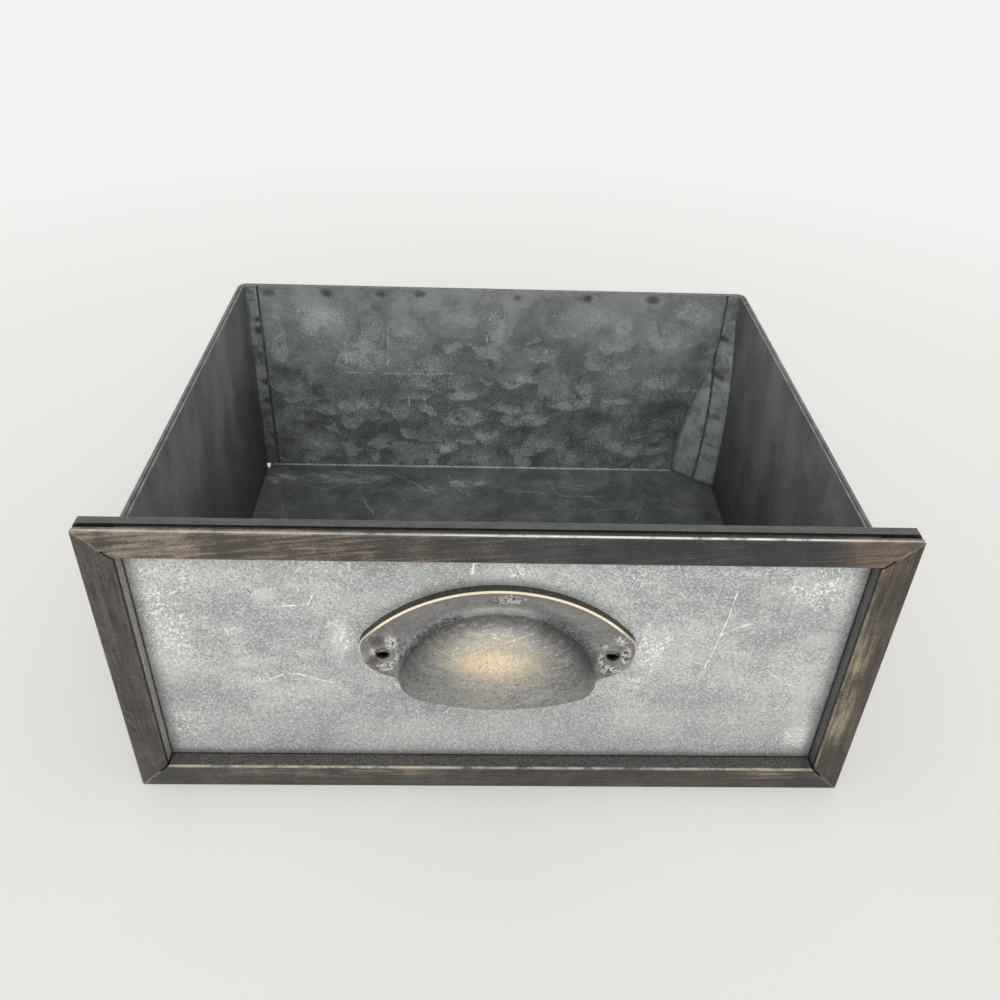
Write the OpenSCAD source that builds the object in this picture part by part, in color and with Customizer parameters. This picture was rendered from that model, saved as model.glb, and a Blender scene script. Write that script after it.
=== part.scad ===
// Metal drawer bin: a galvanised sheet box with a hemmed rim, a trimmed front and a domed cup pull.
// Millimetres, +Z up, front towards -Y, origin under the middle of the object.

/* [Front] */
// Width of the front
front_w = 280; // [220:1:360]
// Height of the front
front_h = 128.5; // [118:0.5:180]
// How far the front stands out past each side wall of the bin
front_overhang = 8; // [4:0.5:20]
// How far the front stands above the top of the bin's walls
front_rise = 14; // [4:0.5:30]
// Radius of the front's corners, as seen from the front
front_corner = 2; // [0.5:0.1:2.2]
// Gap between the trim's outer lip and the flange of the front wall
front_gap = 2.1; // [0.6:0.1:3]
// Outside radius of the front wall's bends
front_bend = 1.3; // [1.2:0.1:3]
// Sheet thickness of the pale panel
panel_sheet = 0.8; // [0.5:0.1:1.2]
// Room between the panel's edge and the bends of the front wall
panel_room = 0.2; // [0.1:0.1:1]

/* [Trim] */
// Width of the trim's face
trim_w = 12; // [8:0.5:18]
// Depth from the trim's face to the panel
trim_depth = 6.8; // [5.5:0.1:10]
// Depth of the trim's short outer lip
trim_lip = 1.9; // [1.4:0.1:2.6]
// Sheet thickness of the trim
trim_sheet = 1; // [0.6:0.1:1.2]
// Outside radius of the trim's bends
trim_bend = 1.2; // [0.8:0.1:1.4]
// Length of the open end of each mitre
slit_l = 4.8; // [2:0.1:8]
// Width of the open end of each mitre
slit_w = 0.8; // [0.3:0.1:1.5]

/* [Bin] */
// Outside depth of the bin behind the front wall
bin_d = 221; // [150:1:320]
// Sheet thickness of the bin
bin_sheet = 0.9; // [0.5:0.1:1.2]
// Outside radius of the bin's bends
bin_bend = 2; // [1.4:0.1:3]
// Width of the welded tabs at the corners
tab_w = 7; // [5:0.5:14]
// Width of the side walls' bottom flanges
foot_w = 10; // [6:0.5:20]
// Clear height of the corner openings above the floor's bend
corner_relief = 0.5; // [0.5:0.1:4]

/* [Rim] */
// Thickness of the hemmed rim strip
rim_t = 1.9; // [1.2:0.1:3]
// Height of the rim strip
rim_h = 10; // [7:0.5:16]
// Width of the gap between the top of the rim strip and the wall
rim_gap = 0.5; // [0.2:0.1:1]
// Depth of that gap
rim_gap_d = 4; // [2.5:0.5:5.5]
// Outside radius of the rim at the rear corners
rim_corner = 5; // [4:0.5:8]
// Length of the back rim along each side
rim_wrap = 11.5; // [9:0.5:30]
// Gap between the ends of the rim strips
rim_joint = 0.4; // [0.1:0.1:1]

/* [Cup pull] */
// Height of the pull's underside above the floor
pull_z = 59.5; // [40:0.5:66]
// Width of the pull over its ears
pull_w = 100.5; // [94:0.5:120]
// Height of the pull
pull_h = 42.3; // [40.5:0.1:46]
// Sheet thickness of the pull
pull_sheet = 1.2; // [0.8:0.1:1.6]
// How far the flange's face stands off the panel
flange_d = 3.4; // [2.4:0.1:5]
// Radius of the ears' upper rounding
ear_r = 9; // [7.5:0.5:10]
// Height above the underside at which the ears start to round towards the top
ear_shoulder = 14.2; // [11:0.1:16]
// How far the ears' lower rounding would run on below the underside
ear_run = 0.1; // [0.1:0.1:2]
// Spacing of the ear holes
hole_span = 83.6; // [82:0.1:88]
// Height of the ear holes above the underside
hole_z = 11.7; // [8:0.1:15]
// Diameter of the ear holes
hole_d = 4.6; // [3:0.1:5.5]
// Outside radius of the cup where it leaves the flange
cup_r = 36.5; // [33:0.1:37]
// How far the cup's axis lies below the underside
cup_drop = 2.5; // [0:0.1:5]
// Radius of the cup's rounded shoulder
cup_shoulder = 12; // [8:0.1:14]
// Rise of the cup's shallow crown above the shoulder
cup_crown = 3.6; // [2:0.1:6]
// Radius of the fillet between the cup and the flange
cup_fillet = 3.5; // [1:0.1:4]

/* [Hidden] */
$fn = 96;

galvanised = [0.28, 0.30, 0.30];
zinc = [0.66, 0.68, 0.68];
bronze = [0.25, 0.20, 0.17];
aged_brass = [0.45, 0.37, 0.25];

// Overlap of cutting bodies past the faces they cut
cut = 1;
// Overlap of the pull's rounded parts, so that each meets the next in a definite edge
blend = 0.03;

// Depths along Y, from the trim's face at 0 to the back
panel_y = trim_depth;
web_y = panel_y + panel_sheet;
bin_y = web_y + bin_sheet;
back_y = bin_y + bin_d;
rear_y = back_y + rim_gap + rim_t;
tab_y = back_y - bin_sheet;

// Outside width of the bin over its side walls, and the height of its walls
bin_w = front_w - 2 * front_overhang;
bin_h = front_h - front_rise;

// Stand-off of the cup from the panel, and the middle of the object's depth
cup_depth = cup_shoulder + cup_crown;
pull_y = panel_y - flange_d - cup_depth + blend;
mid_y = (pull_y + rear_y) / 2;

// Height of the corner tabs' lower ends
tab_z = bin_sheet + bin_bend + corner_relief;

// Radius of the rim's inside at the rear corners
rim_inner = rim_corner - rim_t - rim_gap;
// Width of the floor and the back, which stay clear of the rim's corners and the side walls' bends
sheet_w = bin_w - 2 * max(rim_inner, bin_bend);

// Moves a piece from the trim's face to the object's frame
module placed() {
    translate([0, -mid_y, 0]) children();
}

// Mirror copy beside the original
module both_sides() {
    children();
    mirror([1, 0, 0]) children();
}

// Lays a profile drawn in depth and height along X
module along_x(length) {
    rotate([90, 0, 90]) linear_extrude(length, center = true) children();
}

// Lays a profile drawn in width and height along Y, from y1 to y2
module along_y(y1, y2) {
    translate([0, y2, 0]) rotate([90, 0, 0]) linear_extrude(y2 - y1) children();
}

// Rectangle with its corner at the origin rounded
module corner_square(size, r) {
    translate([r, 0]) square([size.x - r, size.y]);
    translate([0, r]) square([size.x, size.y - r]);
    translate([r, r]) circle(r);
}

// What a rounding takes off a corner that points right and up, from the rounding's middle
module corner_cut(r) {
    difference() {
        square(r + cut);
        circle(r);
    }
}

// Section of a bent sheet: two legs that meet in a bend at the origin
module angle_profile(legs, sheet, r) {
    difference() {
        corner_square(legs, r);
        translate([sheet, sheet]) corner_square(legs, r - sheet);
    }
}

// Floor and back wall

module floor_back_sheet() {
    back_legs = [bin_d - bin_bend, bin_h - bin_sheet];
    front_legs = [2 * bin_bend, tab_w];
    front_tab_w = bin_w - 2 * tab_w - 2 * bin_bend;
    color(galvanised) placed() {
        along_x(sheet_w) translate([back_y, bin_sheet])
            mirror([1, 0]) angle_profile(back_legs, bin_sheet, bin_bend);
        along_x(front_tab_w) translate([bin_y, bin_sheet]) angle_profile(front_legs, bin_sheet, bin_bend);
    }
}

// Side walls

module side_wall() {
    placed() translate([-bin_w / 2, 0, 0]) {
        along_y(bin_y + bin_bend, tab_y - bin_bend) angle_profile([foot_w, bin_h], bin_sheet, bin_bend);
        translate([0, 0, tab_z]) linear_extrude(bin_h - tab_z) {
            translate([0, bin_y]) angle_profile([tab_w, bin_d / 2], bin_sheet, bin_bend);
            translate([0, tab_y]) mirror([0, 1]) angle_profile([tab_w, bin_d / 2], bin_sheet, bin_bend);
        }
    }
}

module left_side_wall() {
    color(galvanised) side_wall();
}

module right_side_wall() {
    color(galvanised) mirror([1, 0, 0]) side_wall();
}

// Rim

// Section of the rim strip: a fold at the top, open to the wall, and a flat foot against the wall
module rim_profile() {
    translate([0, -rim_h]) square([rim_gap + rim_t, rim_h - rim_gap_d]);
    translate([rim_gap, -rim_gap_d - cut]) square([rim_t, rim_gap_d + cut - rim_t / 2]);
    translate([rim_gap + rim_t / 2, -rim_t / 2]) circle(rim_t / 2);
}

// Straight run of the rim along the right wall
module side_rim_run(y1, y2) {
    translate([bin_w / 2, 0, bin_h]) along_y(y1, y2) rim_profile();
}

module side_rim() {
    placed() side_rim_run(bin_y, back_y - rim_wrap - rim_joint);
}

module back_rim() {
    corner_x = bin_w / 2 - rim_inner;
    corner_y = back_y - rim_inner;
    color(galvanised) placed() {
        translate([0, back_y, bin_h]) along_x(2 * corner_x) rim_profile();
        both_sides() {
            translate([corner_x, corner_y, bin_h])
                rotate_extrude(angle = 90) translate([rim_inner, 0]) rim_profile();
            side_rim_run(back_y - rim_wrap, corner_y);
        }
    }
}

module left_rim() {
    color(galvanised) mirror([1, 0, 0]) side_rim();
}

module right_rim() {
    color(galvanised) side_rim();
}

// Front wall and panel

// Block with its four corners and its four rear edges rounded, standing inset from the front's outline
module tray_block(y1, y2, inset) {
    w = front_w - 2 * inset;
    h = front_h - 2 * inset;
    bend = front_bend - inset;
    corner = front_corner - inset;
    translate([0, 0, front_h / 2]) difference() {
        intersection() {
            linear_extrude(h, center = true) rounded_rear(w, y1, y2, bend);
            rotate([0, 90, 0]) linear_extrude(w, center = true) rounded_rear(h, y1, y2, bend);
        }
        for (turn = [0, 180]) rotate([0, turn, 0]) both_sides()
            translate([w / 2 - corner, 0, h / 2 - corner]) along_y(y1 - cut, y2 + cut) corner_cut(corner);
    }
}

// Rectangle from y1 to y2 with its two rear corners rounded
module rounded_rear(w, y1, y2, r) {
    difference() {
        translate([-w / 2, y1]) square([w, y2 - y1]);
        both_sides() translate([w / 2 - r, y2 - r]) corner_cut(r);
    }
}

module front_wall() {
    flange_y = trim_lip + front_gap;
    color(galvanised) placed() difference() {
        tray_block(flange_y, bin_y, 0);
        tray_block(flange_y - cut, web_y, bin_sheet);
    }
}

module front_panel() {
    edge = front_bend + panel_room;
    color(zinc) placed() translate([-front_w / 2 + edge, panel_y, edge])
        cube([front_w - 2 * edge, panel_sheet, front_h - 2 * edge]);
}

// Mitred trim

// Section of the trim in depth and width: face, short outer lip and deep inner return
module trim_profile() {
    difference() {
        intersection() {
            corner_square([trim_depth, trim_w], trim_bend);
            translate([0, trim_w]) mirror([0, 1]) corner_square([trim_depth, trim_w], trim_bend);
        }
        translate([trim_sheet, trim_sheet]) square([trim_depth, trim_w - 2 * trim_sheet]);
        translate([trim_lip, -cut]) square([trim_depth, trim_sheet + 2 * cut]);
    }
}

// Rail of the trim along X, outer edge down, mitred at both ends with the inner end of each mitre open
module trim_rail(length) {
    half = length / 2;
    difference() {
        intersection() {
            along_x(length) trim_profile();
            along_y(0, trim_depth)
                polygon([[-half, 0], [half, 0], [half - trim_w, trim_w], [trim_w - half, trim_w]]);
        }
        both_sides() {
            translate([half - trim_w, 0, trim_w]) rotate([0, 45, 0])
                translate([-slit_w, -cut, -slit_w / 2]) cube([slit_l + slit_w, trim_depth + 2 * cut, slit_w]);
            translate([half - front_corner, 0, front_corner])
                along_y(-cut, trim_depth + cut) mirror([0, 1]) corner_cut(front_corner);
        }
    }
}

module trim_bottom() {
    color(bronze) placed() trim_rail(front_w);
}

module trim_top() {
    color(bronze) placed() translate([0, 0, front_h]) mirror([0, 0, 1]) trim_rail(front_w);
}

module trim_stile() {
    placed() translate([-front_w / 2, 0, front_h / 2]) rotate([0, 90, 0]) trim_rail(front_h);
}

module trim_left() {
    color(bronze) trim_stile();
}

module trim_right() {
    color(bronze) mirror([1, 0, 0]) trim_stile();
}

// Cup pull

// Outline of the flange inside the given margin: an arched top that runs into two rounded ears
module flange_outline(margin) {
    ear_x = pull_w / 2 - ear_r;
    low_r = ear_shoulder + ear_run;
    low_x = pull_w / 2 - blend - low_r;
    rise = pull_h - ear_shoulder;
    arch_r = (ear_x ^ 2 + rise ^ 2 - ear_r ^ 2) / (2 * (rise - ear_r));
    arch_z = pull_h - arch_r;
    reach = arch_r / (arch_r - ear_r);
    shoulder = [ear_x * reach, arch_z + (ear_shoulder - arch_z) * reach];
    intersection() {
        translate([0, arch_z]) circle(arch_r - blend - margin);
        union() {
            intersection() {
                polygon([[0, arch_z], shoulder, [0, pull_h + arch_r], [-shoulder.x, shoulder.y]]);
                translate([-pull_w, margin]) square([2 * pull_w, 2 * pull_h]);
            }
            translate([-low_x, margin]) square([2 * low_x, ear_shoulder - margin]);
            both_sides() {
                translate([ear_x, ear_shoulder]) circle(ear_r - margin);
                intersection() {
                    translate([low_x, ear_shoulder]) circle(low_r - margin);
                    translate([low_x, margin]) square([low_r, ear_shoulder - margin]);
                }
            }
        }
    }
}

// Half section of the cup: a shallow crown that runs into a rounded shoulder, inside the given margin
module cup_profile(margin) {
    shoulder_x = cup_r - cup_shoulder;
    crown_r = (shoulder_x ^ 2 + cup_depth ^ 2 - cup_shoulder ^ 2) / (2 * cup_crown);
    crown_y = cup_depth - crown_r;
    intersection() {
        square([cup_r, cup_depth]);
        translate([0, crown_y]) circle(crown_r - blend - margin);
        union() {
            translate([shoulder_x, 0]) circle(cup_shoulder - margin);
            polygon([[0, crown_y], [2 * shoulder_x, -crown_y], [0, -crown_y]]);
        }
    }
}

// Fillet that runs from the cup's shoulder to the flange's face
module cup_fillet_profile() {
    shoulder_x = cup_r - cup_shoulder;
    fillet_y = cup_fillet - blend;
    fillet_x = shoulder_x + sqrt((cup_shoulder + fillet_y) ^ 2 - fillet_y ^ 2);
    difference() {
        polygon([[shoulder_x, 0], [fillet_x, 0], [fillet_x, fillet_y]]);
        translate([fillet_x, fillet_y]) circle(cup_fillet);
    }
}

module cup_pull() {
    pull_d = flange_d + cup_depth;
    color(aged_brass) placed() translate([0, panel_y, pull_z]) rotate([90, 0, 0]) difference() {
        union() {
            linear_extrude(flange_d) flange_outline(0);
            translate([0, -cup_drop, flange_d]) rotate_extrude() {
                cup_profile(0);
                cup_fillet_profile();
            }
        }
        translate([0, 0, -cut]) linear_extrude(flange_d - pull_sheet + cut) flange_outline(pull_sheet);
        translate([0, -cup_drop, flange_d]) rotate_extrude() cup_profile(pull_sheet);
        translate([0, -cup_drop, -cut]) cylinder(h = flange_d + cut, r = cup_r - pull_sheet);
        both_sides() translate([hole_span / 2, hole_z, 0]) cylinder(h = flange_d + cut, d = hole_d);
        translate([-pull_w, -2 * pull_w, -cut]) cube([2 * pull_w, 2 * pull_w, pull_d + 2 * cut]);
    }
}

floor_back_sheet();
left_side_wall();
right_side_wall();
back_rim();
left_rim();
right_rim();
front_wall();
front_panel();
trim_top();
trim_bottom();
trim_left();
trim_right();
cup_pull();
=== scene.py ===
"""Looks of the metal drawer bin.

Worn galvanised sheet, a pale zinc panel in bronzed trim and a cup pull of aged brass, all painted by
procedural nodes. The one added form is the buckled sheet in the bin's right rear corner.
"""
import math
from dataclasses import dataclass
from typing import Callable

import bmesh
import bpy
from mathutils import Matrix, Vector


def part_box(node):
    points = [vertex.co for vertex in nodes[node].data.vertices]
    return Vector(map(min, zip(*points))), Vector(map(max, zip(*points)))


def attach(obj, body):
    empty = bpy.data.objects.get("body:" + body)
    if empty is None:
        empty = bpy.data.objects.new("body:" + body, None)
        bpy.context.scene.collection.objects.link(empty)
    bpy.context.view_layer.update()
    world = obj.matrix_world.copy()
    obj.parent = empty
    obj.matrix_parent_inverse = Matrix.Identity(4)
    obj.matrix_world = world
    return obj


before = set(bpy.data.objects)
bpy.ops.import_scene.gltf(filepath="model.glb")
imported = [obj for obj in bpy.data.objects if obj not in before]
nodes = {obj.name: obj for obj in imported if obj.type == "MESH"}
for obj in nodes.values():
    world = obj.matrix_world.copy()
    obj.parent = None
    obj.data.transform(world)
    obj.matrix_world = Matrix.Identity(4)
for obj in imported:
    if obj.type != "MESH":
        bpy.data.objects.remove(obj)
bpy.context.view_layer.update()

MM = 0.001


def low(node, axis):
    """Lowest place of a node along an axis, in millimetres."""
    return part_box(node)[0][axis] / MM


def high(node, axis):
    """Highest place of a node along an axis, in millimetres."""
    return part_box(node)[1][axis] / MM


# Places that the patterns refer to, in millimetres
FRONT_X = high("trim_right", 0)
FRONT_Z = high("trim_top", 2)
FACE_Y = low("trim_top", 1)
PANEL_Y = low("front_panel", 1)
RAIL = high("trim_bottom", 2)
BACK_Y = high("left_side_wall", 1)
WALL_X = high("right_side_wall", 0)
WALL_Z = high("right_side_wall", 2)
SHEET = low("floor_back_sheet", 2)
PULL_Z = low("cup_pull", 2)
PULL_H = high("cup_pull", 2) - PULL_Z
PULL_X = high("cup_pull", 0)

# The pull's shape, as in the solid: flange, cup and ears in millimetres
FLANGE_D = 3.4
CUP_DROP = 2.5
CUP_R = 36.5
ARCH_R = 63.1
EAR_R = 9.0
EAR_SHOULDER = 14.2
EAR_LOW_R = 14.3
HOLE_X = 41.8
HOLE_H = 11.7


def srgb(*levels):
    """Linear colour from screen levels of 0 to 255."""
    linear = []
    for level in levels:
        v = level / 255
        linear.append(v / 12.92 if v <= 0.04045 else ((v + 0.055) / 1.055) ** 2.4)
    return (*linear, 1.0)


class Value:
    """A number that a node gives; arithmetic on it adds nodes."""

    def __init__(self, graph, socket):
        self.graph = graph
        self.socket = socket

    def __add__(self, other):
        return self.graph.math("ADD", self, other)

    def __radd__(self, other):
        return self.graph.math("ADD", other, self)

    def __sub__(self, other):
        return self.graph.math("SUBTRACT", self, other)

    def __rsub__(self, other):
        return self.graph.math("SUBTRACT", other, self)

    def __mul__(self, other):
        return self.graph.math("MULTIPLY", self, other)

    def __rmul__(self, other):
        return self.graph.math("MULTIPLY", other, self)

    def __abs__(self):
        return self.graph.math("ABSOLUTE", self)


class Graph:
    """A material's node tree. Lengths in it are millimetres in the object's frame."""

    def __init__(self, name, metallic):
        self.material = bpy.data.materials.new(name)
        self.material.use_nodes = True
        self.tree = self.material.node_tree
        self.shader = self.tree.nodes["Principled BSDF"]
        self.shader.inputs["Metallic"].default_value = metallic
        place = self.node("ShaderNodeTexCoord").outputs["Object"]
        self.point = self.vector("SCALE", place, scale=1 / MM)
        self.x, self.y, self.z = self.split(self.point)
        normal = self.node("ShaderNodeNewGeometry").outputs["Normal"]
        self.nx, self.ny, self.nz = self.split(normal)

    def node(self, kind, inputs=None, **settings):
        """Adds a node, with values or links for its inputs."""
        made = self.tree.nodes.new(kind)
        for key, setting in settings.items():
            setattr(made, key, setting)
        for key, value in (inputs or {}).items():
            self.put(made.inputs[key], value)
        return made

    def put(self, socket, value):
        """Sets an input, or links it to what another node gives."""
        if isinstance(value, Value):
            value = value.socket
        if isinstance(value, bpy.types.NodeSocket):
            self.tree.links.new(value, socket)
        else:
            socket.default_value = value

    def math(self, operation, a, b=0.0):
        made = self.node("ShaderNodeMath", {0: a, 1: b}, operation=operation)
        return Value(self, made.outputs[0])

    def least(self, a, b):
        return self.math("MINIMUM", a, b)

    def most(self, a, b):
        return self.math("MAXIMUM", a, b)

    def vector(self, operation, a, b=None, scale=None):
        made = self.node("ShaderNodeVectorMath", {0: a}, operation=operation)
        if b is not None:
            self.put(made.inputs[1], b)
        if scale is not None:
            self.put(made.inputs["Scale"], scale)
        gives_number = operation in ("DOT_PRODUCT", "DISTANCE", "LENGTH")
        return Value(self, made.outputs["Value" if gives_number else "Vector"])

    def join(self, x=0.0, y=0.0, z=0.0):
        return Value(self, self.node("ShaderNodeCombineXYZ", {0: x, 1: y, 2: z}).outputs[0])

    def split(self, socket):
        made = self.node("ShaderNodeSeparateXYZ", {"Vector": socket})
        return [Value(self, s) for s in made.outputs]

    def step(self, value, start, end):
        """Smooth rise from 0 at start to 1 at end; it falls where start is above end."""
        rising = start < end
        ends = (start, end) if rising else (end, start)
        levels = (0.0, 1.0) if rising else (1.0, 0.0)
        made = self.node("ShaderNodeMapRange", {"Value": value, "From Min": ends[0], "From Max": ends[1],
                                                "To Min": levels[0], "To Max": levels[1]},
                         interpolation_type="SMOOTHSTEP")
        return Value(self, made.outputs["Result"])

    def band(self, value, start, end, soft):
        """1 between start and end, falling to 0 over the soft width outside them."""
        return self.step(value, start - soft, start) * self.step(value, end + soft, end)

    def noise(self, size, detail=2.0, rough=0.5, stretch=(1, 1, 1), seed=0.0, warp=0.0, point=None):
        """Noise with features of the given size, longer along an axis with a larger stretch."""
        shares = [1 / (size * s) for s in stretch]
        scaled = self.vector("MULTIPLY", point or self.point, shares)
        moved = self.vector("ADD", scaled, (seed, 1.7 * seed, -2.3 * seed))
        made = self.node("ShaderNodeTexNoise", {"Vector": moved, "Scale": 1.0, "Detail": detail,
                                                "Roughness": rough, "Distortion": warp})
        return Value(self, made.outputs[0])

    def warped(self, amount, size, seed=0.0):
        """The point, moved about by noise."""
        scaled = self.vector("SCALE", self.point, scale=1 / size)
        moved = self.vector("ADD", scaled, (seed, seed, seed))
        made = self.node("ShaderNodeTexNoise", {"Vector": moved, "Scale": 1.0, "Detail": 2.0})
        centred = self.vector("SUBTRACT", made.outputs["Color"], (0.5, 0.5, 0.5))
        return self.vector("ADD", self.point, self.vector("SCALE", centred, scale=2 * amount))

    def cells(self, sizes, point):
        """Random patches: the offset from the patch's middle, and three random numbers of the patch."""
        scaled = self.vector("MULTIPLY", point, [1 / s for s in sizes])
        made = self.node("ShaderNodeTexVoronoi", {"Vector": scaled, "Scale": 1.0})
        offset = self.vector("SUBTRACT", scaled, made.outputs["Position"])
        return self.split(offset), self.split(made.outputs["Color"])

    def mix(self, a, b, amount):
        made = self.node("ShaderNodeMix", {0: amount, 6: a, 7: b}, data_type="RGBA")
        return made.outputs[2]

    def paint(self, color, levels, amount):
        """The colour, covered by a paint of the given screen levels."""
        return self.mix(color, srgb(*levels), amount)

    def stroke(self, flat, points):
        """Distance from a line through points of the flat plane."""
        nearest = None
        for a, b in zip(points, points[1:]):
            start = Vector((*a, 0))
            run = Vector((*b, 0)) - start
            offset = self.vector("SUBTRACT", flat, start)
            along = self.vector("DOT_PRODUCT", offset, run / run.length_squared)
            share = self.node("ShaderNodeMath", {0: along, 1: 1.0}, operation="MULTIPLY", use_clamp=True)
            nearest_point = self.vector("SCALE", run, scale=share.outputs[0])
            distance = self.vector("DISTANCE", offset, nearest_point)
            nearest = distance if nearest is None else self.least(nearest, distance)
        return nearest

    def spot(self, flat, centre, radii):
        """Distance from a centre in the flat plane, as a share of the radii."""
        offset = self.vector("SUBTRACT", flat, (*centre, 0))
        return self.vector("LENGTH", self.vector("MULTIPLY", offset, (1 / radii[0], 1 / radii[1], 0)))

    def clusters(self, flat, places, ragged):
        """Soft ragged spots, each given by its centre, radii and strength."""
        total = None
        for x, z, wide, tall, strength in places:
            one = self.step(self.spot(flat, (x, z), (wide, tall)) + ragged, 1.2, 0.3) * strength
            total = one if total is None else self.most(total, one)
        return total

    def finish(self, color, roughness, height, depth):
        """Links colour, roughness and a bump whose height of 1 stands for depth millimetres."""
        self.put(self.shader.inputs["Base Color"], color)
        self.put(self.shader.inputs["Roughness"], roughness)
        bump = self.node("ShaderNodeBump", {"Strength": 1.0, "Distance": depth * MM, "Height": height})
        self.put(self.shader.inputs["Normal"], bump.outputs["Normal"])
        return self.material


def dress(material, *names):
    """Gives CAD nodes a material."""
    for name in names:
        mesh = nodes[name].data
        mesh.materials.clear()
        mesh.materials.append(material)


# Pale zinc panel

# Clusters of white flecks: centre across and up, half width, half height, strength
ZINC_FLECKS = [
    (-119, 84, 11, 26, 1.0), (-112, 104, 12, 9, 0.7), (-119, 28, 9, 13, 0.6), (113, 100, 13, 13, 1.0),
    (84, 110, 38, 6, 0.5), (56, 71, 9, 14, 0.9), (52, 55, 6, 5, 0.6), (-57, 76, 5, 9, 0.9),
    (5, 108, 7, 4, 1.0), (-61, 110.5, 13, 4, 0.7), (-95, 78.6, 4, 3, 0.9), (46, 107, 14, 7, 0.6),
    (-88.5, 53.5, 3, 2, 1.0), (121, 25, 6, 10, 0.8), (-78, 47, 9, 4, 0.4),
]
# Cloudy pale patches of the same form
ZINC_CLOUDS = [
    (-82, 95.8, 6, 3.4, 0.8), (-57.5, 76, 4.5, 10, 0.7), (57, 70, 8, 15, 0.5), (116.5, 77, 9, 5, 0.6),
    (-92, 63, 10, 3, 0.4), (118, 40, 5, 26, 0.55), (121, 24, 6, 9, 0.9), (-119, 75, 8, 34, 0.35),
    (90, 84, 12, 3, 0.3), (0, 26, 60, 10, 0.2), (-74, 48, 16, 5, 0.4), (60, 32, 22, 9, 0.3),
    (-40, 96, 12, 7, 0.3),
]
# Lines on it: points across and up
ZINC_SCRATCHES = [
    [(83.2, 99.4), (82.2, 88), (80.8, 79.1), (78.7, 66.9), (76.6, 59.2)],
    [(80.8, 79.1), (85, 82), (90.4, 84.7)],
    [(101.2, 61.4), (104, 58.6), (107.3, 55.5), (115.1, 51.5)],
    [(-89.2, 53.9), (-87.5, 52.8), (-78.9, 56.9), (-73.7, 57), (-67.3, 54.4), (-61.1, 52.5)],
    [(-79.7, 90.5), (-67.4, 91.5), (-64.8, 97.5)],
    [(-59.2, 103.1), (-55.6, 99.5)],
    [(-70.4, 107.1), (-65, 106.9)],
    [(-18.2, 38.6), (-18.8, 36.6)],
]
WHITE_TICK = [(-7.8, 111.7), (-9.4, 111.2), (-9.9, 106.8)]
DARK_NICK = [(-87.8, 98.4), (-86.8, 96.9)]
# How far below an ear hole's own height the panel is seen through it
HOLE_SIGHT = 5.2


def zinc_ground(g):
    """Cloudy grey with a fine grain, pale clouds and white flecks; painted shade along the side rails and
    above the bottom rail, and a black line where it meets the side rails.
    """
    cloud = g.noise(22, 3, 0.6, stretch=(1.6, 1, 1), seed=3)
    tone = g.step(cloud * 0.65 + g.mottle * 0.35, 0.36, 0.64)
    color = g.mix(srgb(152, 155, 153), srgb(190, 192, 189), tone)
    color = g.paint(color, (132, 135, 134), g.step(g.z, 70, 15) * 0.4)
    color = g.paint(color, (104, 108, 107), g.step(g.grain, 0.5, 0.78) * 0.7)
    color = g.paint(color, (228, 229, 226), g.step(g.grain, 0.5, 0.22) * 0.7)
    pale = g.clusters(g.flat, ZINC_CLOUDS, g.ragged)
    color = g.paint(color, (216, 218, 215), pale * 0.55)
    color = g.paint(color, (240, 241, 238), g.step(g.worm, 0.54, 0.6) * (g.flecks * 0.85 + 0.03))
    side = FRONT_X - RAIL - abs(g.x)
    # Painted shade along the side rails, where their returns make a recess
    color = g.paint(color, (92, 94, 94), g.step(side + (g.mottle - 0.5) * 2, 6, -0.5) * 0.6)
    color = g.paint(color, (20, 21, 21), g.step(side, 0.7, 0.1) * 0.8)
    # Painted shade just above the bottom rail
    return g.paint(color, (78, 80, 80), g.step(g.z - RAIL, 4, 0) * 0.65)


def zinc_scratches(g, color):
    """Broken bright scratches, a white tick under the top rail and a dark nick."""
    wobble = (g.noise(2, 2, 0.6, seed=31) - 0.5) * 0.9
    broken = g.step(g.noise(2.5, 3, 0.7, seed=37), 0.36, 0.6)
    for points in ZINC_SCRATCHES:
        line = g.stroke(g.flat, points) + wobble
        color = g.paint(color, (246, 247, 244), g.step(line, 0.36, 0.08) * (0.15 + broken * 0.75))
    tick = g.stroke(g.flat, WHITE_TICK) + wobble
    color = g.paint(color, (246, 246, 242), g.step(tick, 0.65, 0.25) * 0.9)
    nick = g.stroke(g.flat, DARK_NICK) + wobble * 0.4
    return g.paint(color, (62, 64, 62), g.step(nick, 0.45, 0.1) * 0.8)


def zinc_round_pull(g, color):
    """Grey tongue beside the pull's left ear, painted shade round its top and dark behind its holes."""
    tongue = g.spot(g.flat, (-53.4, 66.4), (3.6, 4.4)) + g.ragged * 0.35
    color = g.paint(color, (134, 137, 135), g.step(tongue, 1.0, 0.7) * 0.45)
    # Painted shade on the panel round the pull's top
    pull_shade = g.step(brass_edge(g, g.z - PULL_Z), -5, 0.5) * g.step(g.z, 84, 100)
    color = g.paint(color, (108, 109, 102), pull_shade * 0.6)
    behind_hole = g.join(abs(g.x) - HOLE_X, g.z - (PULL_Z + HOLE_H - HOLE_SIGHT))
    return g.paint(color, (6, 6, 6), g.step(g.vector("LENGTH", behind_hole), 3.3, 2.7))


def zinc_material():
    g = Graph("pale_zinc", 0.15)
    g.flat = g.join(g.x, g.z)
    g.mottle = g.noise(6, 4, 0.66, seed=7)
    g.grain = g.noise(0.75, 1, 0.6, seed=11)
    g.worm = g.noise(1.5, 1, 0.5, warp=1.5, seed=23)
    g.ragged = (g.mottle - 0.5) * 2.0
    g.flecks = g.clusters(g.flat, ZINC_FLECKS, g.ragged)
    color = zinc_ground(g)
    color = zinc_scratches(g, color)
    color = zinc_round_pull(g, color)
    height = g.grain * 0.8 + g.mottle * 0.9 + g.worm * g.flecks * 0.6
    return g.finish(color, g.mottle * 0.2 + 0.42, height, 0.06)


# Bronzed trim

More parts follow.
